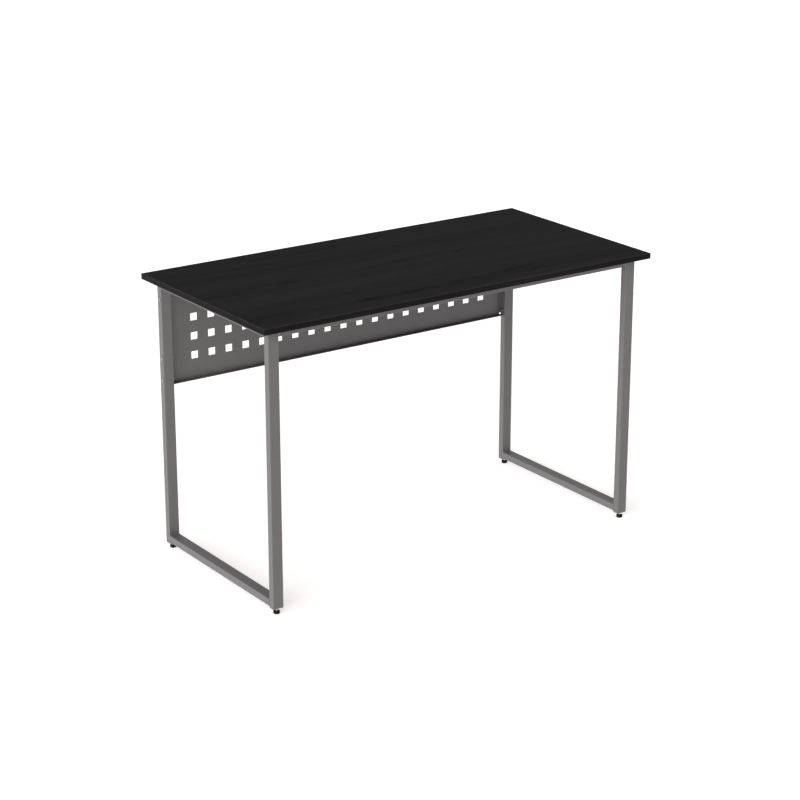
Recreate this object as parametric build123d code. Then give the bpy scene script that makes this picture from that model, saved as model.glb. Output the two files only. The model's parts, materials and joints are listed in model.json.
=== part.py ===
from build123d import *
import os

# A writing desk: a banded chipboard top on two closed steel loops, joined at the back by a
# perforated modesty panel and stiffened at the front by a crossbar. Four levelling feet.
#
# Frame: +X across the desk, +Y towards the modesty panel, +Z up, in millimetres.
# Origin: on the floor, under the middle of the desk.

os.makedirs("parts", exist_ok=True)

# ---------------------------------------------------------------- driving dimensions

desk_width = 1200.0
desk_depth = 600.0
desk_height = 755.0
board_thickness = 15.0
side_overhang = 28.0  # desktop past the loops, left and right
end_overhang = 30.0  # desktop past the loops, front and back

band_thickness = 1.0
band_arris = 0.5  # rounding of the banding's long outer edges

tube_wide = 30.0  # loop tube, across the desk
tube_deep = 20.0  # loop tube, in the plane of the loop
tube_wall = 1.5
tube_corner = 2.0  # outer corner radius of every steel tube

crossbar_side = 20.0
crossbar_cap_collar = 2.5  # part of the end cap outside the tube
crossbar_cap_plug = 12.0  # part of the end cap inside the tube
crossbar_end_gap = 0.3  # between each end cap and the upright

panel_height = 284.0
panel_flange = 16.0
sheet = 1.2
sheet_bend = 1.0  # inside bend radius of the folded sheet
panel_side_gap = 0.3  # between each side flange and the upright
relief_side = 4.5  # square relief cut at each corner of the fold
flange_slit = 0.5  # between neighbouring flanges

perforation_columns = 19
perforation_rows = 4
perforation_pitch = 52.0
perforation_side = 20.0
perforation_corner = 0.6

pad_radius = 8.5
pad_height = 7.0
stud_exposed = 8.5  # stud between the pad and the foot plate, as stood
foot_plate = 3.0  # thickness of the plate that closes the upright's lower end
thread_radius = 3.0  # M6 studs, bolts and nuts
running_clearance = 0.05  # radial, between a turning stud and its hole

panel_bolt_heights = (470.0, 530.0, 690.0)
rail_screw_places = (-190.0, 0.0, 190.0)  # along Y
crossbar_screw_places = (-420.0, -140.0, 140.0, 420.0)  # along X
panel_screw_places = (-468.0, -156.0, 156.0, 468.0)  # along X

# ---------------------------------------------------------------- worked-out places

board_bottom = desk_height - board_thickness
plate_bottom = pad_height + stud_exposed
loop_bottom = plate_bottom + foot_plate
leg_x = desk_width / 2 - side_overhang - tube_wide / 2
leg_y = desk_depth / 2 - end_overhang - tube_deep / 2
leg_inner_x = leg_x - tube_wide / 2
leg_outer_x = leg_x + tube_wide / 2
leg_inner_y = leg_y - tube_deep / 2
leg_outer_y = leg_y + tube_deep / 2
panel_bottom = board_bottom - panel_height
crossbar_y = -leg_outer_y + crossbar_side / 2
top_rail_z = board_bottom - tube_deep / 2
bottom_rail_z = loop_bottom + tube_deep / 2

loops = {"left": -1, "right": 1}
ends = {"front": -1, "rear": 1}


def save(shape, node):
    """Write one sub-part to its own STEP file."""
    export_step(shape, f"parts/{node}.step")


def group(solids):
    """Separate solids of one node, such as a set of like screws."""
    return Compound(children=list(solids))


def square_tube(width, depth, length, corner=tube_corner):
    """Hollow tube along +Z, centred on the Z axis, standing on Z = 0."""
    outer = RectangleRounded(width, depth, corner)
    bore = RectangleRounded(width - 2 * tube_wall, depth - 2 * tube_wall, corner - tube_wall)
    return extrude(outer - bore, amount=length)


def rod(radius, start, finish):
    """Round bar along Z from start to finish."""
    return Pos(0, 0, start) * Cylinder(
        radius, finish - start, align=(Align.CENTER, Align.CENTER, Align.MIN)
    )


def rod_along_x(radius, length, x, y, z):
    """Round bar along X, centred on the given point."""
    return Pos(x, y, z) * Rot(0, 90, 0) * Cylinder(radius, length)


# ---------------------------------------------------------------- fasteners

bolt_head_radius = 6.8
bolt_rim = 1.0
bolt_head_height = 3.3
bolt_length = 35.0
hex_socket = 4.0  # across flats
socket_depth = 2.0
nut_across_flats = 10.0
panel_nut_height = 3.2  # thin nut
weld_nut_height = 5.0
clearance_hole = 3.3
screw_radius = 2.0
screw_hole = 2.25
screw_head_radius = 4.0
screw_head_height = 2.2
screw_access = 5.0  # hole in the lower wall of a tube for the screw and its driver
pilot_slack = 0.02
board_bite = 11.5  # screw in the board


def domed_head(radius, rim, height):
    """Round head on Z = 0, domed upwards, with a short straight rim."""
    middle = (0.62 * radius, rim + 0.72 * (height - rim))
    outline = (
        Polyline((0, 0), (radius, 0), (radius, rim))
        + ThreePointArc((radius, rim), middle, (0, height))
        + Line((0, height), (0, 0))
    )
    return revolve(Plane.XZ * make_face(outline), Axis.Z)


def hex_prism(across_flats, height):
    """Hexagonal prism standing on Z = 0, with flats facing +Y and -Y."""
    flat_radius = across_flats / 2
    return extrude(RegularPolygon(flat_radius, 6, major_radius=False, rotation=30), amount=height)


def hex_nut(height):
    """Nut standing on Z = 0, with its six corners turned down at both faces."""
    turned = rod(nut_across_flats / 2 * 1.16, 0, height)
    turned = chamfer(turned.edges().filter_by(GeomType.CIRCLE), 0.8)
    bore = rod(thread_radius + running_clearance, -1, height + 1)
    return (hex_prism(nut_across_flats, height) & turned) - bore


def socket_bolt():
    """Flanged button-head bolt: head above Z = 0, shank below it."""
    head = domed_head(bolt_head_radius, bolt_rim, bolt_head_height)
    recess = Pos(0, 0, bolt_head_height - socket_depth) * hex_prism(hex_socket, socket_depth + 1)
    shank = rod(thread_radius, -bolt_length, 0)
    shank = chamfer(shank.edges().sort_by(Axis.Z)[0], 0.6)
    return head - recess + shank


def wood_screw(length):
    """Pan-head screw pointing up: head below Z = 0, shank and point above it."""
    head = Rot(180, 0, 0) * domed_head(screw_head_radius, 0.8, screw_head_height)
    slot_long, slot_wide, slot_deep = 4.4, 1.0, 1.2
    cross = Box(slot_long, slot_wide, 2 * slot_deep) + Box(slot_wide, slot_long, 2 * slot_deep)
    point = 4.0
    shank = rod(screw_radius, 0, length - point)
    tip = Pos(0, 0, length - point / 2) * Cone(screw_radius, 0.2, point)
    return head - Pos(0, 0, -screw_head_height) * cross + shank + tip


# ---------------------------------------------------------------- desktop

under_top_wall = board_bottom - tube_wall
tube_screw_length = tube_wall + board_bite
sheet_screw_length = sheet + board_bite - 0.5

screw_spots = {
    "left_rail_screws": [(-leg_x, y) for y in rail_screw_places],
    "right_rail_screws": [(leg_x, y) for y in rail_screw_places],
    "crossbar_screws": [(x, crossbar_y) for x in crossbar_screw_places],
    "panel_top_screws": [(x, leg_outer_y - panel_flange / 2) for x in panel_screw_places],
}


def screws_at(spots, seat, length):
    """Upward screws with the underside of the wall they clamp at height seat."""
    return group(Pos(x, y, seat) * wood_screw(length) for x, y in spots)


def desktop_board():
    """Chipboard core, inside the banding, with pilot holes from below."""
    board = Pos(0, 0, board_bottom + board_thickness / 2) * Box(
        desk_width - 2 * band_thickness, desk_depth - 2 * band_thickness, board_thickness
    )
    for spots in screw_spots.values():
        for x, y in spots:
            board -= Pos(x, y, 0) * rod(
                screw_radius + pilot_slack, board_bottom - 1, board_bottom + board_bite + 0.5
            )
    return board


def edge_band(length, side_axis):
    """Banding strip along X at the origin, its outer face towards side_axis."""
    strip = Box(length, band_thickness, board_thickness)
    outer_face = strip.faces().sort_by(side_axis)[-1]
    return fillet(outer_face.edges().filter_by(Axis.X), band_arris)


def place_bands():
    """Long bands cover the ends of the short ones."""
    middle = board_bottom + board_thickness / 2
    long_y = desk_depth / 2 - band_thickness / 2
    short_x = desk_width / 2 - band_thickness / 2
    short_length = desk_depth - 2 * band_thickness
    front_band = edge_band(desk_width, -Axis.Y)
    rear_band = edge_band(desk_width, Axis.Y)
    side_band = edge_band(short_length, Axis.Y)
    save(Pos(0, -long_y, middle) * front_band, "front_edge_band")
    save(Pos(0, long_y, middle) * rear_band, "rear_edge_band")
    save(Pos(-short_x, 0, middle) * Rot(0, 0, 90) * side_band, "left_edge_band")
    save(Pos(short_x, 0, middle) * Rot(0, 0, -90) * side_band, "right_edge_band")


save(desktop_board(), "desktop_board")
place_bands()

# ---------------------------------------------------------------- loops


def upright(side, end):
    """Vertical tube of a loop; a rear one is drilled across for the panel bolts."""
    x, y = side * leg_x, end * leg_y
    post = Pos(x, y, loop_bottom) * square_tube(tube_wide, tube_deep, board_bottom - loop_bottom)
    if end > 0:
        for z in panel_bolt_heights:
            post -= rod_along_x(clearance_hole, tube_wide + 2, x, y, z)
    return post


def rail(side, height):
    """Tube between the two uprights of a loop."""
    lying = Rot(-90, 0, 0) * square_tube(tube_wide, tube_deep, 2 * leg_inner_y)
    return Pos(side * leg_x, -leg_inner_y, height) * lying


def drilled_for_screws(tube, spots, lower_face):
    """Screw hole in the tube's upper wall, and a wider driver hole in its lower wall."""
    for x, y in spots:
        tube -= Pos(x, y, 0) * rod(screw_hole, under_top_wall - 1, board_bottom + 1)
        tube -= Pos(x, y, 0) * rod(screw_access, lower_face - 1, lower_face + tube_wall + 1)
    return tube


rail_lower_face = board_bottom - tube_deep
for side_name, side in loops.items():
    for end_name, end in ends.items():
        save(upright(side, end), f"{side_name}_{end_name}_upright")
    top_rail = drilled_for_screws(
        rail(side, top_rail_z), screw_spots[f"{side_name}_rail_screws"], rail_lower_face
    )
    save(top_rail, f"{side_name}_top_rail")
    save(rail(side, bottom_rail_z), f"{side_name}_bottom_rail")

# ---------------------------------------------------------------- crossbar

crossbar_end = leg_inner_x - crossbar_end_gap
crossbar_tube_end = crossbar_end - crossbar_cap_collar


def crossbar_tube():
    """Front tube between the loops, under the edge of the desktop."""
    length = 2 * crossbar_tube_end
    lying = Rot(0, 90, 0) * square_tube(crossbar_side, crossbar_side, length)
    tube = Pos(-crossbar_tube_end, crossbar_y, board_bottom - crossbar_side / 2) * lying
    return drilled_for_screws(tube, screw_spots["crossbar_screws"], board_bottom - crossbar_side)


def crossbar_cap(side):
    """End cap: a collar as large as the tube and a hollow plug inside it."""
    collar = extrude(
        RectangleRounded(crossbar_side, crossbar_side, tube_corner), amount=crossbar_cap_collar
    )
    collar = chamfer(collar.faces().sort_by(Axis.Z)[-1].edges(), 0.4)
    fit_slack = 0.1
    plug_side = crossbar_side - 2 * tube_wall - 2 * fit_slack
    plug = extrude(RectangleRounded(plug_side, plug_side, 1.0), amount=-crossbar_cap_plug)
    core = extrude(RectangleRounded(plug_side - 4, plug_side - 4, 1.0), amount=-crossbar_cap_plug)
    return (
        Pos(side * crossbar_tube_end, crossbar_y, board_bottom - crossbar_side / 2)
        * Rot(0, side * 90, 0)
        * (collar + plug - core)
    )


save(crossbar_tube(), "front_crossbar")
for side_name, side in loops.items():
    save(crossbar_cap(side), f"{side_name}_crossbar_cap")

# ---------------------------------------------------------------- modesty panel

panel_half = leg_inner_x - panel_side_gap
panel_middle = panel_bottom + panel_height / 2


def folded_tray():
    """Sheet with a flange folded forward on all four sides; its face is at +Y."""
    outer = Box(2 * panel_half, panel_flange, panel_height)
    rim = outer.faces().sort_by(Axis.Y)[-1].edges()
    outer = fillet(rim, sheet_bend + sheet)
    inner = Box(2 * panel_half - 2 * sheet, panel_flange, panel_height - 2 * sheet)
    rim = inner.faces().sort_by(Axis.Y)[-1].edges()
    inner = Pos(0, -sheet, 0) * fillet(rim, sheet_bend)
    return Pos(0, leg_outer_y - panel_flange / 2, panel_middle) * (outer - inner)


def corner_relief(side, level):
    """Square cut through the face where two folds meet, and the slit between the flanges."""
    fold_x = side * (panel_half - sheet)
    fold_z = panel_middle + level * (panel_height / 2 - sheet)
    depth = sheet + sheet_bend + 1
    square = Pos(
        fold_x - side * relief_side / 2, leg_outer_y - depth / 2 + 1, fold_z - level * relief_side / 2
    ) * Box(relief_side, depth, relief_side)
    slit = Pos(
        fold_x - side * flange_slit / 2, leg_outer_y - panel_flange / 2, fold_z + level * sheet / 2
    ) * Box(flange_slit, panel_flange + 2, 2 * sheet)
    bend_end = Pos(fold_x, leg_outer_y, fold_z) * Box(4 * sheet, 2 * depth, 4 * sheet)
    return square + slit + bend_end


def perforations():
    """Square holes through the face, in columns and rows."""
    holes = GridLocations(
        perforation_pitch, perforation_pitch, perforation_columns, perforation_rows
    ) * RectangleRounded(perforation_side, perforation_side, perforation_corner)
    return Pos(0, leg_outer_y + 1, panel_middle) * (
        Rot(90, 0, 0) * extrude(Sketch() + holes, amount=sheet + 2)
    )


def modesty_panel():
    """Folded and perforated sheet between the rear uprights."""
    panel = folded_tray() - perforations()
    for side in (-1, 1):
        for level in (-1, 1):
            panel -= corner_relief(side, level)
        for z in panel_bolt_heights:
            panel -= rod_along_x(clearance_hole, 8, side * panel_half, leg_y, z)
    for x, y in screw_spots["panel_top_screws"]:
        panel -= Pos(x, y, 0) * rod(screw_hole, board_bottom - 4, board_bottom + 1)
    return panel


save(modesty_panel(), "modesty_panel")

for side_name, side in loops.items():
    bolts = []
    nuts = []
    for z in panel_bolt_heights:
        head_seat = Pos(side * leg_outer_x, leg_y, z)
        nut_seat = Pos(side * (panel_half - sheet), leg_y, z)
        bolts.append(head_seat * Rot(0, side * 90, 0) * socket_bolt())
        nuts.append(nut_seat * Rot(0, -side * 90, 0) * hex_nut(panel_nut_height))
    save(group(bolts), f"{side_name}_panel_bolts")
    save(group(nuts), f"{side_name}_panel_nuts")

# ---------------------------------------------------------------- desktop screws

for node in ("left_rail_screws", "right_rail_screws", "crossbar_screws"):
    save(screws_at(screw_spots[node], under_top_wall, tube_screw_length), node)
save(
    screws_at(screw_spots["panel_top_screws"], board_bottom - sheet, sheet_screw_length),
    "panel_top_screws",
)

# ---------------------------------------------------------------- levelling feet

stud_socket = 4.0  # depth of the pad's socket for the stud
stud_bottom = pad_height - stud_socket + 0.2
stud_top = loop_bottom + weld_nut_height + 11.0
wrench_flats = 5.0
flats_height = 4.0


def closing_plate():
    """Plate welded across the upright's lower end, bored for the stud."""
    plate = extrude(RectangleRounded(tube_wide, tube_deep, tube_corner), amount=foot_plate)
    plate -= rod(thread_radius + running_clearance, -1, foot_plate + 1)
    return Pos(0, 0, plate_bottom) * plate


def levelling_stud():
    """Stud that turns in the nut; two flats above the pad take a wrench."""
    stud = rod(thread_radius, stud_bottom, stud_top)
    stud = chamfer(stud.edges().filter_by(GeomType.CIRCLE), 0.5)
    flat_cut = Box(2 * thread_radius, thread_radius, flats_height)
    for facing in (-1, 1):
        stud -= Pos(
            0, facing * (wrench_flats + thread_radius) / 2, pad_height + flats_height / 2
        ) * flat_cut
    return stud


def floor_pad():
    """Round pad with softened edges and a socket for the stud."""
    pad = rod(pad_radius, 0, pad_height)
    pad = fillet(pad.edges().sort_by(Axis.Z)[-1], 1.5)
    pad = chamfer(pad.edges().sort_by(Axis.Z)[0], 0.6)
    return pad - rod(thread_radius + running_clearance, pad_height - stud_socket, pad_height + 1)


for side_name, side in loops.items():
    for end_name, end in ends.items():
        corner = f"{side_name}_{end_name}"
        place = Pos(side * leg_x, end * leg_y, 0)
        weld_nut = Pos(0, 0, loop_bottom) * hex_nut(weld_nut_height)
        save(place * closing_plate(), f"{corner}_foot_plate")
        save(place * weld_nut, f"{corner}_weld_nut")
        save(place * levelling_stud(), f"{corner}_foot_stud")
        save(place * floor_pad(), f"{corner}_foot_pad")
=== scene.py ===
import json
import math
import random

import bmesh
import bpy
from mathutils import Matrix, Vector


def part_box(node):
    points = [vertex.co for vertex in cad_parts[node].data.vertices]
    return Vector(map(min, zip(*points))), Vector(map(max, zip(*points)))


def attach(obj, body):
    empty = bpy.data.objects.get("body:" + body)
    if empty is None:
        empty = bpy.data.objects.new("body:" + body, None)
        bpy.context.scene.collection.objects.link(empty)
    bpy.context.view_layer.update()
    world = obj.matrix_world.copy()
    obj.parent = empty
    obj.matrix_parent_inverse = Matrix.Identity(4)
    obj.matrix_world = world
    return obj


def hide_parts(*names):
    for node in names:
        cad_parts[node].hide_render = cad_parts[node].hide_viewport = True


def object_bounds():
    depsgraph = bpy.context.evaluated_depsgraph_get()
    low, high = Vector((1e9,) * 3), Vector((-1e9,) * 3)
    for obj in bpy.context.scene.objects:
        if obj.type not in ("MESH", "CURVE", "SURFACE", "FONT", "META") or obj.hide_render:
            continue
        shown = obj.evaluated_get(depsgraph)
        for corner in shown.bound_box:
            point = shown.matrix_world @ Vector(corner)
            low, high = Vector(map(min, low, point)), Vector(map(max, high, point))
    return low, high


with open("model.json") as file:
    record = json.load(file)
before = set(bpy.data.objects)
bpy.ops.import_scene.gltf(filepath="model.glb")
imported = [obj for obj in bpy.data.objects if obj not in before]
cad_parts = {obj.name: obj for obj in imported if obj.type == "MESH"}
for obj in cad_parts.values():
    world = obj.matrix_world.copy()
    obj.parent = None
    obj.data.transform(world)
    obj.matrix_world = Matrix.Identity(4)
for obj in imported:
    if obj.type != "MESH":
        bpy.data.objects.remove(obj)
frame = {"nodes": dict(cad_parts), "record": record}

# A computer desk in metres, in the CAD frame: +X across, +Y to the modesty panel, +Z up.
# The CAD nodes keep their shape and get their finish here. Studs, pads, bolts and nuts are modelled
# here in place of CAD's plain solids, and weld beads are added.

SCENE = bpy.context.scene
cad_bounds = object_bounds()
LOW, HIGH = cad_bounds
MM = 0.001
SIDES = {"left": -1, "right": 1}
ENDS = {"front": -1, "rear": 1}


def direction(azimuth, elevation):
    """Unit vector to a place seen from the desk, in degrees: azimuth 0 is in front, 90 is right."""
    azimuth, elevation = math.radians(azimuth), math.radians(elevation)
    return Vector(
        (
            math.sin(azimuth) * math.cos(elevation),
            -math.cos(azimuth) * math.cos(elevation),
            math.sin(elevation),
        )
    )


# ---------------------------------------------------------------- camera

CAMERA_AZIMUTH = -35.0
CAMERA_ELEVATION = 19.0
CAMERA_DISTANCE = 5.913
CAMERA_LENS = 100.0
CAMERA_SENSOR = 36.0
CAMERA_REACH = 300.0


def make_camera():
    """Looks at the middle of the desk's box from the front left."""
    back = direction(CAMERA_AZIMUTH, CAMERA_ELEVATION)
    data = bpy.data.cameras.new("camera")
    data.lens = CAMERA_LENS
    data.sensor_width = CAMERA_SENSOR
    data.clip_end = CAMERA_REACH
    camera = bpy.data.objects.new("camera", data)
    SCENE.collection.objects.link(camera)
    camera.location = (LOW + HIGH) / 2 + back * CAMERA_DISTANCE
    camera.rotation_mode = "QUATERNION"
    camera.rotation_quaternion = (-back).to_track_quat("-Z", "Y")
    SCENE.camera = camera


make_camera()

# ---------------------------------------------------------------- node helpers


class Surface:
    """A material with a Principled shader and a few short ways to wire its nodes."""

    def __init__(self, name, **constants):
        self.material = bpy.data.materials.new(name)
        self.material.use_nodes = True
        self.nodes = self.material.node_tree.nodes
        self.links = self.material.node_tree.links
        self.shader = self.nodes["Principled BSDF"]
        for socket, value in constants.items():
            self.shader.inputs[socket.replace("_", " ")].default_value = value

    def add(self, kind, inputs=(), **settings):
        """A node of that kind. Inputs are values or other nodes' sockets, by name or number."""
        node = self.nodes.new(kind)
        for key, value in settings.items():
            setattr(node, key, value)
        for key, value in dict(inputs).items():
            if isinstance(value, bpy.types.NodeSocket):
                self.links.new(value, node.inputs[key])
            else:
                node.inputs[key].default_value = value
        return node

    def place(self, scale=(1, 1, 1), rotation=(0, 0, 0)):
        """Object coordinates, which are the CAD frame's metres, stretched and turned."""
        coordinates = self.add("ShaderNodeTexCoord").outputs["Object"]
        mapping = self.add(
            "ShaderNodeMapping", {"Vector": coordinates, "Scale": scale, "Rotation": rotation}
        )
        return mapping.outputs["Vector"]

    def noise(self, vector, scale, detail=2.0, roughness=0.5, distortion=0.0):
        """Cloudy noise from 0 to 1, with this many cycles in one unit of the vector."""
        node = self.add(
            "ShaderNodeTexNoise",
            {
                "Vector": vector,
                "Scale": scale,
                "Detail": detail,
                "Roughness": roughness,
                "Distortion": distortion,
            },
        )
        return node.outputs["Fac"]

    def span(self, value, low, high, out_low, out_high):
        """Maps a value's range to another, smoothly and clamped."""
        node = self.add(
            "ShaderNodeMapRange",
            {
                "Value": value,
                "From Min": low,
                "From Max": high,
                "To Min": out_low,
                "To Max": out_high,
            },
            interpolation_type="SMOOTHSTEP",
        )
        return node.outputs["Result"]

    def math(self, operation, first, second):
        """One step of arithmetic on two values."""
        node = self.add("ShaderNodeMath", {0: first, 1: second}, operation=operation)
        return node.outputs["Value"]

    def spot(self, vector, centre, size):
        """1 at a centre, falling smoothly to 0 at an ellipsoid of the given half sizes."""
        away = self.add("ShaderNodeVectorMath", {0: vector, 1: centre}, operation="SUBTRACT")
        scaled = self.add(
            "ShaderNodeVectorMath", {0: away.outputs["Vector"], 1: size}, operation="DIVIDE"
        )
        length = self.add("ShaderNodeVectorMath", {0: scaled.outputs["Vector"]}, operation="LENGTH")
        return self.span(length.outputs["Value"], 0.0, 1.0, 1.0, 0.0)

    def blend(self, factor, first, second):
        """Mixes two colours: sockets 6 and 7 of a Mix node, whose colour output is 2."""
        node = self.add("ShaderNodeMix", data_type="RGBA")
        for index, value in ((0, factor), (6, first), (7, second)):
            if isinstance(value, bpy.types.NodeSocket):
                self.links.new(value, node.inputs[index])
            else:
                node.inputs[index].default_value = value
        return node.outputs[2]

    def bump(self, height, strength, distance, under=None):
        """A normal from a height in units of this distance, over another bump if given."""
        node = self.add(
            "ShaderNodeBump", {"Height": height, "Strength": strength, "Distance": distance}
        )
        if under is not None:
            self.links.new(under, node.inputs["Normal"])
        return node.outputs["Normal"]

    def set(self, socket, value):
        """Drives one of the shader's sockets."""
        self.links.new(value, self.shader.inputs[socket])


def grey(value, warm=0.0):
    """An opaque linear grey, slightly warm if asked, or slightly cool below 0."""
    return (value * (1 + warm), value, value * (1 - warm), 1.0)


# ---------------------------------------------------------------- finishes


# Figure of the desktop's print: X, Y, half length and half width in metres, and
# strength.
KNOTS = (
    (-0.329, 0.014, 0.030, 0.011, 0.82),
    (-0.438, 0.020, 0.045, 0.008, 0.45),
    (0.025, 0.028, 0.030, 0.018, 0.29),
    (0.092, 0.037, 0.050, 0.006, 0.41),
    (0.195, 0.016, 0.014, 0.010, 0.82),
    (0.275, 0.010, 0.030, 0.006, 0.41),
    (-0.249, -0.224, 0.034, 0.012, 0.82),
    (-0.130, -0.226, 0.060, 0.007, 0.49),
    (0.035, -0.215, 0.040, 0.007, 0.49),
    (0.200, -0.206, 0.070, 0.009, 0.53),
    (-0.500, -0.210, 0.060, 0.008, 0.45),
    (-0.110, 0.244, 0.090, 0.008, 0.41),
    (0.510, 0.028, 0.050, 0.010, 0.29),
)
# Broad bands that run the desktop's whole length: Y and half width in metres, and strength, which
# is above 0 for a lighter band.
BROAD_BANDS = (
    (-0.075, 0.060, 0.26),
    (0.148, 0.034, -0.22),
    (0.190, 0.014, 0.16),
    (-0.225, 0.045, -0.18),
)
WHOLE_LENGTH = 50.0  # half size of a spot that has no end in that direction
KNOT_FADE = 1.7  # a knot's soft edge reaches this many times its size
GRAIN_WANDER = 0.085
LEVEL_LINES = 19.0
BROAD_SHARE, RING_SHARE, FIBRE_SHARE, LINE_SHARE, PORE_SHARE = 0.30, 0.38, 0.32, 0.42, 0.45
GRAIN_RELIEF = 0.12 * MM
# Colour of the painted highlight on the edge bands' upper arris, where light catches it.
ARRIS_HIGHLIGHT = (0.060, 0.060, 0.061, 1.0)


def wood_decor(name, dark, light, along="X", pore_depth=1.0, figure=False, paint_arris_highlight=False):
    """Black wood print on matt melamine: broad bands, rings, fine fibres and pores along the grain.
    An edge band's upper arris, where its normal turns upward, is painted paler: a painted
    highlight."""
    finish = Surface(name, Specular_IOR_Level=0.01)
    turn = (0, 0, 0) if along == "X" else (0, 0, math.radians(90))
    # The grain wanders off the axis, more in some places than in others.
    wander = finish.noise(finish.place((0.8, 3.0, 3.0), turn), 1.6, 2.0)
    off_axis = finish.math("MULTIPLY", finish.math("SUBTRACT", wander, 0.5), GRAIN_WANDER)
    drift = finish.add("ShaderNodeCombineXYZ", {"X": 0.0, "Y": off_axis, "Z": 0.0})
    moved = finish.add(
        "ShaderNodeVectorMath",
        {0: finish.place((1, 1, 1), turn), 1: drift.outputs["Vector"]},
        operation="ADD",
    ).outputs["Vector"]

    def grain(stretch, scale, detail, roughness=0.55):
        stretched = finish.add("ShaderNodeMapping", {"Vector": moved, "Scale": stretch})
        return finish.noise(stretched.outputs["Vector"], scale, detail, roughness)

    broad = finish.span(grain((0.45, 7.0, 7.0), 1.7, 3.0), 0.30, 0.70, 0.0, 1.0)
    rings = finish.span(grain((0.9, 30.0, 30.0), 2.3, 4.0, 0.62), 0.28, 0.72, 0.0, 1.0)
    fibres = finish.span(grain((4.0, 230.0, 230.0), 3.1, 3.0, 0.6), 0.30, 0.70, 0.0, 1.0)
    pores = finish.span(grain((16.0, 900.0, 900.0), 2.0, 2.0, 0.5), 0.56, 0.70, 0.0, 1.0)
    # Cathedral lines are the level lines of a slow, stretched noise.
    hills = finish.math("MULTIPLY", grain((0.55, 4.4, 4.4), 1.5, 1.5, 0.45), LEVEL_LINES)
    levels = finish.math("PINGPONG", hills, 0.5)
    lines = finish.span(levels, 0.0, 0.16, 1.0, 0.0)
    lines = finish.math("MULTIPLY", lines, finish.span(broad, 0.25, 0.75, 0.55, 0.10))
    tone = finish.math("MULTIPLY", broad, BROAD_SHARE)
    for layer, share in ((rings, RING_SHARE), (fibres, FIBRE_SHARE), (lines, -LINE_SHARE)):
        tone = finish.math("ADD", tone, finish.math("MULTIPLY", layer, share))
    if figure:
        for y, half_width, strength in BROAD_BANDS:
            size = (WHOLE_LENGTH, half_width, WHOLE_LENGTH)
            band = finish.spot(moved, (0, y, HIGH.z), size)
            tone = finish.math("ADD", tone, finish.math("MULTIPLY", band, strength))
    colour = finish.blend(tone, dark, light)
    pore_colour, knot_colour = grey(dark[1] * 0.45), grey(dark[1] * 0.30)
    colour = finish.blend(finish.math("MULTIPLY", pores, PORE_SHARE), colour, pore_colour)
    if figure:
        ragged = finish.span(rings, 0.0, 1.0, 1.15, 0.55)
        for x, y, half_length, half_width, strength in KNOTS:
            size = (half_length * KNOT_FADE, half_width * KNOT_FADE, WHOLE_LENGTH)
            knot = finish.spot(moved, (x, y, HIGH.z), size)
            knot = finish.math("MULTIPLY", finish.math("MULTIPLY", knot, ragged), strength)
            colour = finish.blend(knot, colour, knot_colour)
    # Painted highlight: where an edge band's normal turns upward, at its arris, the colour is made
    # paler, varied along the grain.
    if paint_arris_highlight:
        normal = finish.add("ShaderNodeNewGeometry").outputs["Normal"]
        upward = finish.add("ShaderNodeSeparateXYZ", {"Vector": normal}).outputs["Z"]
        arris_highlight = finish.span(upward, 0.05, 0.45, 0.0, 1.0)
        arris_highlight = finish.math("MULTIPLY", arris_highlight, finish.span(rings, 0.0, 1.0, 0.70, 1.0))
        colour = finish.blend(arris_highlight, colour, ARRIS_HIGHLIGHT)
    finish.set("Base Color", colour)
    finish.set("Roughness", finish.span(fibres, 0.0, 1.0, 0.50, 0.62))
    relief = finish.math("SUBTRACT", finish.math("MULTIPLY", fibres, 0.35), pores)
    finish.set("Normal", finish.bump(relief, 0.30 * pore_depth, GRAIN_RELIEF))
    return finish.material


def powder_coat(name, tone):
    """Grey metallic powder coat: cloudy at arm's length, fine flake and orange peel close up."""
    finish = Surface(name, Metallic=0.18, Specular_IOR_Level=0.42)
    clouds = finish.noise(finish.place(), 7.0, 3.0, 0.55)
    flakes = finish.noise(finish.place(), 2600.0, 1.0, 0.4)
    peel = finish.noise(finish.place(), 520.0, 2.0, 0.5)
    dust = finish.noise(finish.place(), 1500.0, 2.0, 0.7)
    cloudy = finish.span(clouds, 0.32, 0.68, 0.0, 1.0)
    bright_flakes = finish.span(flakes, 0.60, 0.74, 0.0, 0.55)
    dark_flakes = finish.span(flakes, 0.40, 0.28, 0.0, 0.40)
    colour = finish.blend(cloudy, grey(tone * 0.965), grey(tone * 1.03))
    colour = finish.blend(bright_flakes, colour, grey(tone * 1.55, warm=-0.01))
    colour = finish.blend(dark_flakes, colour, grey(tone * 0.62))
    finish.set("Base Color", colour)
    finish.set("Roughness", finish.span(clouds, 0.25, 0.75, 0.36, 0.46))
    skin = finish.bump(peel, 0.16, 0.25 * MM)
    finish.set("Normal", finish.bump(dust, 0.10, 0.05 * MM, under=skin))
    return finish.material


def zinc_plate(name, tone, roughness):
    """Zinc on turned steel: faint turning marks, cloudy passivation and light scratches."""
    finish = Surface(name, Metallic=1.0)
    clouds = finish.noise(finish.place(), 240.0, 3.0, 0.6)
    turning = finish.noise(finish.place((900.0, 900.0, 6000.0)), 1.0, 2.0, 0.5)
    scratches = finish.noise(finish.place((300.0, 4200.0, 900.0), (0.3, 0.2, 0.9)), 1.0, 2.0, 0.4)
    cool = (tone * 0.90, tone * 0.92, tone * 0.95, 1.0)
    warm = (tone * 1.10, tone * 1.10, tone * 1.06, 1.0)
    finish.set("Base Color", finish.blend(finish.span(clouds, 0.3, 0.7, 0.0, 1.0), cool, warm))
    finish.set("Roughness", finish.span(clouds, 0.25, 0.75, roughness, roughness + 0.16))
    marks = finish.bump(turning, 0.12, 0.03 * MM)
    finish.set("Normal", finish.bump(scratches, 0.10, 0.03 * MM, under=marks))
    return finish.material


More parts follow.
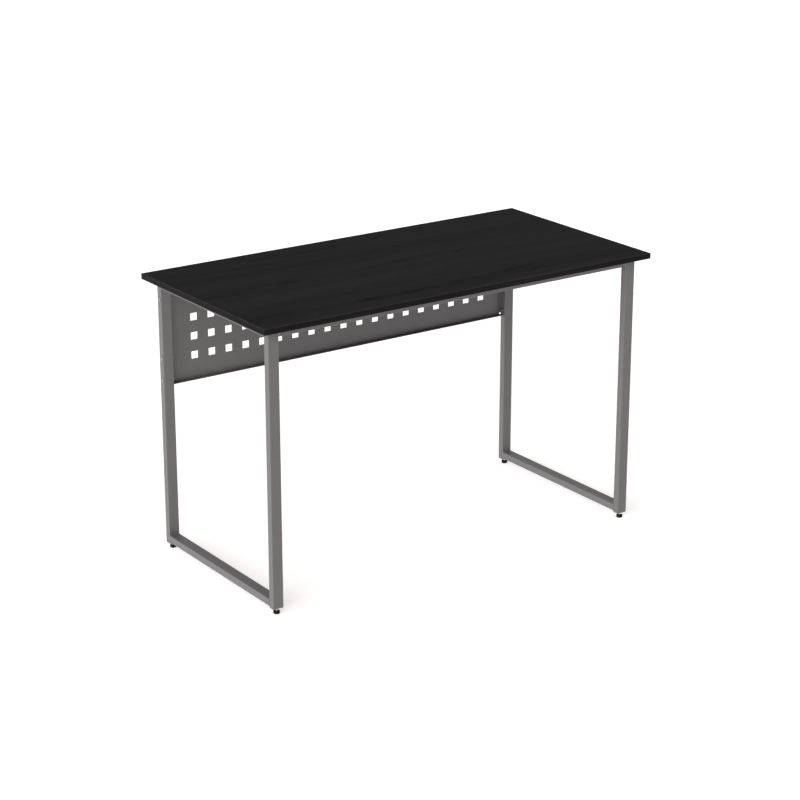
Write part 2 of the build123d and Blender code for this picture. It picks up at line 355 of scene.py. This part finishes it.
def moulded_plastic(name, tone, gloss, shine):
    """Moulded plastic: spark-eroded skin with slightly uneven gloss and dust in the grain."""
    finish = Surface(name, Specular_IOR_Level=shine)
    skin = finish.noise(finish.place(), 1900.0, 3.0, 0.6)
    flow = finish.noise(finish.place((1, 1, 2.5)), 120.0, 2.0, 0.5, 0.6)
    uneven = finish.span(flow, 0.3, 0.7, 0.0, 1.0)
    colour = finish.blend(uneven, grey(tone * 0.86), grey(tone * 1.16))
    colour = finish.blend(finish.span(skin, 0.62, 0.78, 0.0, 0.25), colour, grey(tone * 1.7))
    finish.set("Base Color", colour)
    finish.set("Roughness", finish.span(flow, 0.25, 0.75, gloss, gloss + 0.12))
    finish.set("Normal", finish.bump(skin, 0.22, 0.06 * MM))
    return finish.material


def weld_metal(name, tone):
    """Powder coat over a weld: the same grey, rougher, with the paint pooled in the ripples."""
    finish = Surface(name, Metallic=0.15, Specular_IOR_Level=0.40)
    spatter = finish.noise(finish.place(), 900.0, 3.0, 0.65)
    pool = finish.noise(finish.place(), 160.0, 2.0, 0.5)
    pooled = finish.span(pool, 0.3, 0.7, 0.0, 1.0)
    finish.set("Base Color", finish.blend(pooled, grey(tone * 0.90), grey(tone * 1.04)))
    finish.set("Roughness", finish.span(spatter, 0.3, 0.7, 0.42, 0.58))
    finish.set("Normal", finish.bump(spatter, 0.30, 0.12 * MM))
    return finish.material


TOP_DARK, TOP_LIGHT = grey(0.0112), grey(0.0218)
BAND_DARK, BAND_LIGHT = grey(0.0070), grey(0.0162)
SIDE_BAND_DARK, SIDE_BAND_LIGHT = grey(0.0088), grey(0.0188)
PAINT = 0.125
PANEL_PAINT = PAINT * 0.91

laminate = wood_decor("desktop_laminate", TOP_DARK, TOP_LIGHT, figure=True)
long_band = wood_decor("long_edge_band", BAND_DARK, BAND_LIGHT, pore_depth=0.6, paint_arris_highlight=True)
short_band = wood_decor(
    "short_edge_band", SIDE_BAND_DARK, SIDE_BAND_LIGHT, along="Y", pore_depth=0.6, paint_arris_highlight=True
)
paint = powder_coat("frame_powder_coat", PAINT)
panel_paint = powder_coat("panel_powder_coat", PANEL_PAINT)
zinc = zinc_plate("zinc_plate", tone=0.56, roughness=0.26)
bolt_zinc = zinc_plate("bolt_zinc", tone=0.30, roughness=0.32)
nut_zinc = zinc_plate("nut_zinc", tone=0.19, roughness=0.38)
pad_plastic = moulded_plastic("foot_plastic", tone=0.0040, gloss=0.42, shine=0.10)
cap_plastic = moulded_plastic("cap_plastic", tone=0.30, gloss=0.42, shine=0.28)
weld_paint = weld_metal("weld_paint", PAINT)


def finish_cad_nodes():
    """Every CAD node takes the finish of what it is made of."""
    by_slot = {
        "desktop_laminate": laminate,
        "frame_paint": paint,
        "panel_paint": panel_paint,
        "end_cap": cap_plastic,
        "zinc_fastener": zinc,
        "foot_plastic": pad_plastic,
    }
    by_node = {
        "front_edge_band": long_band,
        "rear_edge_band": long_band,
        "left_edge_band": short_band,
        "right_edge_band": short_band,
    }
    for part in frame["record"]["subparts"]:
        name = part["node"]
        node = frame["nodes"][name]
        material = by_node.get(name) or by_slot[part["material_slot"]]
        for slot in node.material_slots:
            slot.material = material


finish_cad_nodes()

# ---------------------------------------------------------------- mesh helpers

SHARP_ANGLE = math.radians(32)
SIXTH = math.tau / 6
THREAD_PITCH = 1.0 * MM
THREAD_DEPTH = 0.55 * MM
THREAD_STEPS = 8  # rings in one pitch of a thread
TIP_CHAMFER = 0.6 * MM
TIP_SHARE = 0.78  # of the thread's radius, at the chamfered end


def new_piece(name, mesh, material, body):
    """Links a finished mesh as a piece that rides on a body and takes its finish from a slot."""
    for face in mesh.faces:
        face.smooth = True
    bmesh.ops.recalc_face_normals(mesh, faces=mesh.faces)
    data = bpy.data.meshes.new(name)
    mesh.to_mesh(data)
    mesh.free()
    data.set_sharp_from_angle(angle=SHARP_ANGLE)
    data.materials.append(material)
    piece = bpy.data.objects.new(name, data)
    SCENE.collection.objects.link(piece)
    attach(piece, body)
    return piece


def lathe(mesh, outline, segments, shape=None, transform=None):
    """Turns (radius, height) points about Z. shape(angle, radius, height) may move a ring's radius.
    A point of radius 0 closes the form."""
    rings = []
    created = []
    for radius, height in outline:
        if radius == 0:
            ring = [mesh.verts.new((0, 0, height))]
        else:
            ring = []
            for i in range(segments):
                angle = math.tau * i / segments
                r = shape(angle, radius, height) if shape else radius
                ring.append(mesh.verts.new((r * math.cos(angle), r * math.sin(angle), height)))
        rings.append(ring)
        created += ring
    for lower, upper in zip(rings, rings[1:]):
        for i in range(segments):
            j = (i + 1) % segments
            corners = [
                lower[i % len(lower)],
                lower[j % len(lower)],
                upper[j % len(upper)],
                upper[i % len(upper)],
            ]
            unique = list(dict.fromkeys(corners))
            if len(unique) > 2:
                mesh.faces.new(unique)
    if transform is not None:
        bmesh.ops.transform(mesh, matrix=transform, verts=created)


def hexagon(angle, half_flats):
    """Radius of a hexagon at an angle."""
    return half_flats / math.cos((angle % SIXTH) - SIXTH / 2)


def thread_heights(start, finish):
    """Heights of the rings of a threaded stretch."""
    count = max(2, round((finish - start) / THREAD_PITCH * THREAD_STEPS))
    return [start + (finish - start) * i / count for i in range(count + 1)]


def thread_phase(angle, height):
    """Place in the pitch of a right-handed thread, from 0 to 1."""
    return (height / THREAD_PITCH - angle / math.tau) % 1.0


def thread_shape(radius, start, finish):
    """Radius of a right-handed helical thread that fades out at both ends."""

    def shape(angle, r, height):
        if abs(r - radius) > 1e-9:
            return r
        crest = min(1.0, max(0.0, 2.6 * abs(thread_phase(angle, height) - 0.5) - 0.15))
        fade = min(1.0, (height - start) / THREAD_PITCH, (finish - height) / THREAD_PITCH)
        return radius - THREAD_DEPTH * (1 - crest) * max(0.0, fade)

    return shape


# ---------------------------------------------------------------- levelling feet

WRENCH_FLATS = 5.0 * MM
FLATS_HEIGHT = 4.0 * MM
NECK_SHARE = 0.94  # of the thread's radius, at the plain neck
STUD_SEGMENTS = 36
PAD_SEGMENTS = 96
PAD_RIBS = 24
RIB_DEPTH = 0.16 * MM
PAD_BORE = 3.08 * MM
SOCKET_SHARE = 0.43  # height of the bore's bottom, of the pad's height


def foot_stud(corner):
    """Threaded stud with two wrench flats just above the pad."""
    low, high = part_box(f"{corner}_foot_stud")
    pad_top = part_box(f"{corner}_foot_pad")[1].z
    radius = (high.x - low.x) / 2
    neck = radius * NECK_SHARE
    flats_top = pad_top + FLATS_HEIGHT
    start, finish = flats_top + 0.3 * MM, high.z - TIP_CHAMFER
    thread = thread_shape(radius, start, finish)

    def shape(angle, r, z):
        if pad_top <= z <= flats_top:
            return min(r, WRENCH_FLATS / 2 / max(abs(math.sin(angle)), 0.01))
        return thread(angle, r, z)

    outline = [(0, low.z), (neck * 0.85, low.z), (neck, low.z + 0.4 * MM)]
    outline += [(neck, pad_top - 0.01 * MM), (neck, pad_top)]
    outline += [(neck, (pad_top + flats_top) / 2), (neck, flats_top)]
    outline += [(neck, flats_top + 0.05 * MM)]
    outline += [(radius, z) for z in thread_heights(start, finish)]
    outline += [(radius * TIP_SHARE, high.z), (0, high.z)]
    mesh = bmesh.new()
    lathe(mesh, outline, STUD_SEGMENTS, shape)
    centre = (low + high) / 2
    bmesh.ops.translate(mesh, vec=(centre.x, centre.y, 0), verts=mesh.verts)
    piece = new_piece(f"{corner}_threaded_stud", mesh, zinc, f"{corner}_stud")
    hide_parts(f"{corner}_foot_stud")


def foot_pad(corner):
    """Round pad: straight ribbed side, dished top with a collar round the stud, hollowed sole."""
    low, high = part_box(f"{corner}_foot_pad")
    radius = (high.x - low.x) / 2
    height = high.z - low.z

    def ribbed(angle, r, z):
        if r < radius * 0.98 or not 0.9 * MM < z < height - 1.2 * MM:
            return r
        return r - RIB_DEPTH * (0.5 - 0.5 * math.cos(PAD_RIBS * angle)) ** 2

    outline = [
        (0, 0.5 * MM),
        (radius * 0.58, 0.5 * MM),
        (radius * 0.70, 0.0),
        (radius - 0.90 * MM, 0.0),
        (radius - 0.40 * MM, 0.12 * MM),
        (radius - 0.10 * MM, 0.42 * MM),
        (radius, 0.85 * MM),
        (radius, 1.10 * MM),
        (radius, height * 0.50),
        (radius, height - 1.40 * MM),
        (radius, height - 1.15 * MM),
        (radius - 0.12 * MM, height - 0.65 * MM),
        (radius - 0.42 * MM, height - 0.25 * MM),
        (radius - 0.95 * MM, height - 0.04 * MM),
        (radius - 1.50 * MM, height),
        (radius - 2.10 * MM, height - 0.06 * MM),
        (radius - 2.60 * MM, height - 0.34 * MM),
        (PAD_BORE + 1.40 * MM, height - 0.38 * MM),
        (PAD_BORE + 1.10 * MM, height - 0.10 * MM),
        (PAD_BORE + 0.80 * MM, height),
        (PAD_BORE + 0.25 * MM, height),
        (PAD_BORE, height - 0.20 * MM),
        (PAD_BORE, height * SOCKET_SHARE),
        (0, height * SOCKET_SHARE),
    ]
    mesh = bmesh.new()
    lathe(mesh, outline, PAD_SEGMENTS, ribbed)
    centre = (low + high) / 2
    bmesh.ops.translate(mesh, vec=(centre.x, centre.y, low.z), verts=mesh.verts)
    piece = new_piece(f"{corner}_floor_pad", mesh, pad_plastic, f"{corner}_pad")
    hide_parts(f"{corner}_foot_pad")


for side_name in SIDES:
    for end_name in ENDS:
        foot_stud(f"{side_name}_{end_name}")
        foot_pad(f"{side_name}_{end_name}")

# ---------------------------------------------------------------- panel bolts

BOLT_HEIGHTS = (0.470, 0.530, 0.690)
BOLT_RADIUS = 3.0 * MM
HEAD_RADIUS = 6.8 * MM
HEAD_HEIGHT = 3.2 * MM
DOME_SHARE = 0.80  # of the head's radius, inside the rim
RIM_HEIGHT = 1.1 * MM
DOME_SWEEP = math.radians(62)
DOME_STEPS = 8
SOCKET_RADIUS = 2.3 * MM
SOCKET_DEPTH = 1.9 * MM
THREADED_LENGTH = 12 * MM
BOLT_SEGMENTS = 48


def bolt_outline(length):
    """Button head above 0, shank below, with a socket sunk in the head."""
    dome = []
    dome_height = (HEAD_HEIGHT - RIM_HEIGHT) / math.sin(DOME_SWEEP)
    for i in range(DOME_STEPS + 1):
        sweep = DOME_SWEEP * i / DOME_STEPS
        r = HEAD_RADIUS * DOME_SHARE * math.cos(sweep)
        dome.append((r, RIM_HEIGHT + dome_height * math.sin(sweep)))
    head = [
        (BOLT_RADIUS, 0.0),
        (HEAD_RADIUS * 0.97, 0.0),
        (HEAD_RADIUS, 0.25 * MM),
        (HEAD_RADIUS, 0.75 * MM),
        (HEAD_RADIUS * 0.97, 1.0 * MM),
        (HEAD_RADIUS * 0.84, 1.08 * MM),
    ]
    socket = [
        (SOCKET_RADIUS * 1.16, HEAD_HEIGHT),
        (SOCKET_RADIUS, HEAD_HEIGHT - 0.25 * MM),
        (SOCKET_RADIUS, HEAD_HEIGHT - SOCKET_DEPTH),
        (0, HEAD_HEIGHT - SOCKET_DEPTH - 0.5 * MM),
    ]
    start = -length + TIP_CHAMFER
    finish = -length + THREADED_LENGTH
    thread = [(BOLT_RADIUS, z) for z in thread_heights(start, finish)]
    tip = [(0, -length), (BOLT_RADIUS * TIP_SHARE, -length)]
    return tip + thread + head + dome + socket, start, finish


def bolt_set(side_name):
    """Three button-head bolts through the rear upright and the panel's flange."""
    side = SIDES[side_name]
    low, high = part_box(f"{side_name}_panel_bolts")
    post_low, post_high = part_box(f"{side_name}_rear_upright")
    seat_x = post_low.x if side < 0 else post_high.x
    tip_x = high.x if side < 0 else low.x
    y = (low.y + high.y) / 2
    outline, start, finish = bolt_outline(abs(tip_x - seat_x))
    thread = thread_shape(BOLT_RADIUS, start, finish)

    def shape(angle, r, z):
        in_socket = z > HEAD_HEIGHT - SOCKET_DEPTH - 0.1 * MM and abs(r - SOCKET_RADIUS) < 1e-6
        if in_socket:
            return hexagon(angle, r * math.cos(SIXTH / 2))
        if start <= z <= finish:
            return thread(angle, r, z)
        return r

    mesh = bmesh.new()
    for z in BOLT_HEIGHTS:
        turn = Matrix.Rotation(math.radians(90) * side, 4, "Y")
        lathe(mesh, outline, BOLT_SEGMENTS, shape, Matrix.Translation((seat_x, y, z)) @ turn)
    piece = new_piece(f"{side_name}_button_bolts", mesh, bolt_zinc, "desk")
    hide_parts(f"{side_name}_panel_bolts")


for side_name in SIDES:
    bolt_set(side_name)

# ---------------------------------------------------------------- panel nuts

NUT_FLATS = 10.0 * MM
NUT_CORNER = NUT_FLATS / 2 / math.cos(math.radians(30))
NUT_EDGE = 0.42 * MM
NUT_SEGMENTS = 72
NUT_THREAD_DEPTH = 0.10 * MM


def nut_set(side_name):
    """Three thin hexagon nuts on the panel's side flange, with turned corners and a thread."""
    side = SIDES[side_name]
    low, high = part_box(f"{side_name}_panel_nuts")
    seat_x = low.x if side < 0 else high.x
    y = (low.y + high.y) / 2
    height = high.x - low.x
    bore = BOLT_RADIUS + 0.12 * MM
    turned = NUT_CORNER - 0.75 * MM

    def shape(angle, r, z):
        if r > turned + 0.01 * MM:
            return min(r, hexagon(angle, NUT_FLATS / 2))
        if r < bore + 0.01 * MM:
            return r - NUT_THREAD_DEPTH * abs(2 * thread_phase(angle, z) - 1)
        return r

    mouth = bore + 0.5 * MM
    outside = [(turned, 0.0), (NUT_CORNER, NUT_EDGE), (NUT_CORNER, height / 2)]
    outside += [(NUT_CORNER, height - NUT_EDGE), (turned, height), (mouth, height)]
    inside = [(bore, z) for z in thread_heights(0.3 * MM, height - 0.3 * MM)]
    outline = [(mouth, 0.0)] + outside + inside[::-1] + [(mouth, 0.0)]
    mesh = bmesh.new()
    for z in BOLT_HEIGHTS:
        turn = Matrix.Rotation(math.radians(-90) * side, 4, "Y")
        lathe(mesh, outline, NUT_SEGMENTS, shape, Matrix.Translation((seat_x, y, z)) @ turn)
    bmesh.ops.remove_doubles(mesh, verts=mesh.verts, dist=1e-7)
    piece = new_piece(f"{side_name}_flange_nuts", mesh, nut_zinc, "desk")
    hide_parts(f"{side_name}_panel_nuts")


for side_name in SIDES:
    nut_set(side_name)

# ---------------------------------------------------------------- welds

WELD_LEG = 2.2 * MM
WELD_PITCH = 1.7 * MM
WELD_SINK = 0.3 * MM
WELD_RIPPLE = 0.09
WELD_UNEVENNESS = 0.012
WELD_BULGE = 0.16
WELD_STEPS = 90
WELD_ARC = 7


def weld_bead(mesh, corner, first, second, length, draw):
    """A rippled fillet weld along X in the corner between two open directions."""
    rings = []
    for i in range(WELD_STEPS + 1):
        t = i / WELD_STEPS
        s = (t - 0.5) * length
        ends = min(1.0, min(t, 1 - t) * length / (1.2 * WELD_LEG))
        ripple = 1.0 + WELD_RIPPLE * abs(math.sin(math.pi * s / WELD_PITCH))
        ripple += draw.uniform(-WELD_UNEVENNESS, WELD_UNEVENNESS)
        leg = WELD_LEG * ripple * (0.35 + 0.65 * math.sqrt(ends))
        at = corner + Vector((s, 0, 0))
        ring = [mesh.verts.new(at - first * WELD_SINK - second * WELD_SINK)]
        ring.append(mesh.verts.new(at + first * leg - second * WELD_SINK))
        for k in range(WELD_ARC + 1):
            angle = math.radians(90) * k / WELD_ARC
            straight = leg / (math.cos(angle) + math.sin(angle))
            bulge = 1 + WELD_BULGE * math.sin(2 * angle)
            along = first * math.cos(angle) + second * math.sin(angle)
            ring.append(mesh.verts.new(at + along * straight * bulge))
        ring.append(mesh.verts.new(at + second * leg - first * WELD_SINK))
        rings.append(ring)
    count = len(rings[0])
    for before, after in zip(rings, rings[1:]):
        for k in range(count):
            m = (k + 1) % count
            mesh.faces.new((before[k], before[m], after[m], after[k]))
    mesh.faces.new(rings[0][::-1])
    mesh.faces.new(rings[-1])


def loop_welds(side_name):
    """Fillet welds in the four inner corners of a loop."""
    draw = random.Random(side_name)
    post_low, post_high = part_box(f"{side_name}_front_upright")
    middle_x = (post_low.x + post_high.x) / 2
    length = post_high.x - post_low.x - 5 * MM
    floor_rail_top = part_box(f"{side_name}_bottom_rail")[1].z
    top_rail_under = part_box(f"{side_name}_top_rail")[0].z
    mesh = bmesh.new()
    for end_name, end in ENDS.items():
        face_low, face_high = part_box(f"{side_name}_{end_name}_upright")
        y = face_high.y if end < 0 else face_low.y
        inward = Vector((0, -end, 0))
        for z, upward in ((floor_rail_top, 1), (top_rail_under, -1)):
            weld_bead(mesh, Vector((middle_x, y, z)), inward, Vector((0, 0, upward)), length, draw)
    new_piece(f"{side_name}_loop_welds", mesh, weld_paint, "desk")


for side_name in SIDES:
    loop_welds(side_name)

# ---------------------------------------------------------------- studio

FLOOR_RADIUS = 30.0
FLOOR_SEGMENTS = 96
GLOW_NEAR, GLOW_FAR = 0.38, 0.84  # the floor's own brightness, at these places along the depth
NEAR_PLACE, FAR_PLACE = -3.0, 10.0
SURROUND_FRONT, SURROUND_BACK = 0.18, 0.52
SURROUND_TURN = (-0.4, 0.5)  # cosines of the angle from straight back, where it changes
SURROUND_SEEN = 1.0  # where the camera sees it directly
STUDIO_DEPTH = -direction(CAMERA_AZIMUTH, 0)  # level, away from the camera
SOFTBOX_SIDE = 18.5
SOFTBOX_DISTANCE = 30.0
SOFTBOX_AIM = Vector((0, 0, 0.4))
# (name, azimuth, elevation, power, tint)
SOFTBOXES = (
    ("left_key", -90, 10, 7650, (0.995, 0.97, 1.045)),
    ("front_left_fill", -50, 25, 5800, (1.075, 0.975, 0.92)),
    ("front_fill", -10, 40, 940, (1.10, 0.97, 0.90)),
    ("left_rear_rim", -140, 35, 794, (1.0, 1.0, 1.0)),
)


def make_floor():
    """A pale seamless floor that glows like a light table, more so at the back.
    Its underside is clear, so that the feet and the desk can be seen from below."""
    finish = Surface("pale_floor", Roughness=0.9, Specular_IOR_Level=0.1)
    mottle = finish.noise(finish.place(), 1.3, 3.0)
    finish.set("Base Color", finish.blend(mottle, grey(0.80), grey(0.82)))
    finish.shader.inputs["Emission Color"].default_value = (1, 1, 1, 1)
    along = finish.add(
        "ShaderNodeVectorMath", {0: finish.place(), 1: STUDIO_DEPTH}, operation="DOT_PRODUCT"
    )
    glow = finish.add(
        "ShaderNodeMapRange",
        {
            "Value": along.outputs["Value"],
            "From Min": NEAR_PLACE,
            "From Max": FAR_PLACE,
            "To Min": GLOW_NEAR,
            "To Max": GLOW_FAR,
        },
    )
    finish.set("Emission Strength", glow.outputs["Result"])
    under = finish.add("ShaderNodeNewGeometry").outputs["Backfacing"]
    clear = finish.add("ShaderNodeBsdfTransparent").outputs["BSDF"]
    one_sided = finish.add(
        "ShaderNodeMixShader", {0: under, 1: finish.shader.outputs["BSDF"], 2: clear}
    )
    output = finish.nodes["Material Output"]
    finish.links.new(one_sided.outputs["Shader"], output.inputs["Surface"])
    mesh = bmesh.new()
    bmesh.ops.create_circle(mesh, cap_ends=True, segments=FLOOR_SEGMENTS, radius=FLOOR_RADIUS)
    for face in mesh.faces:
        face.normal_update()
        if face.normal.z < 0:
            face.normal_flip()
    data = bpy.data.meshes.new("floor")
    mesh.to_mesh(data)
    mesh.free()
    data.materials.append(finish.material)
    floor = bpy.data.objects.new("floor", data)
    floor.location.z = LOW.z
    SCENE.collection.objects.link(floor)


def softbox(name, azimuth, elevation, power, tint):
    """A large soft area light, far enough away to light the whole desk evenly."""
    data = bpy.data.lights.new(name, "AREA")
    data.shape = "SQUARE"
    data.size = SOFTBOX_SIDE
    data.energy = power
    data.color = tint
    way = direction(azimuth, elevation)
    light = bpy.data.objects.new(name, data)
    light.location = SOFTBOX_AIM + way * SOFTBOX_DISTANCE
    light.rotation_mode = "QUATERNION"
    light.rotation_quaternion = (-way).to_track_quat("-Z", "Y")
    SCENE.collection.objects.link(light)


def make_world():
    """A soft pale surround, brighter behind the desk, seen as a white backdrop past the floor."""
    world = bpy.data.worlds.new("surround")
    world.use_nodes = True
    nodes, links = world.node_tree.nodes, world.node_tree.links
    shade = nodes["Background"]
    shade.inputs["Color"].default_value = (1, 1, 1, 1)
    way = nodes.new("ShaderNodeTexCoord")
    facing = nodes.new("ShaderNodeVectorMath")
    facing.operation = "DOT_PRODUCT"
    facing.inputs[1].default_value = STUDIO_DEPTH
    level = nodes.new("ShaderNodeMapRange")
    level.interpolation_type = "SMOOTHSTEP"
    level.inputs["From Min"].default_value = SURROUND_TURN[0]
    level.inputs["From Max"].default_value = SURROUND_TURN[1]
    level.inputs["To Min"].default_value = SURROUND_FRONT
    level.inputs["To Max"].default_value = SURROUND_BACK
    links.new(way.outputs["Generated"], facing.inputs[0])
    links.new(facing.outputs["Value"], level.inputs["Value"])
    seen = nodes.new("ShaderNodeMix")
    seen.inputs["B"].default_value = SURROUND_SEEN
    links.new(nodes.new("ShaderNodeLightPath").outputs["Is Camera Ray"], seen.inputs["Factor"])
    links.new(level.outputs["Result"], seen.inputs["A"])
    links.new(seen.outputs["Result"], shade.inputs["Strength"])
    SCENE.world = world


make_floor()
make_world()
for settings in SOFTBOXES:
    softbox(*settings)

SCENE.view_settings.view_transform = "Standard"
SCENE.view_settings.look = "None"
SCENE.view_settings.exposure = 0.0
SCENE.view_settings.gamma = 1.0
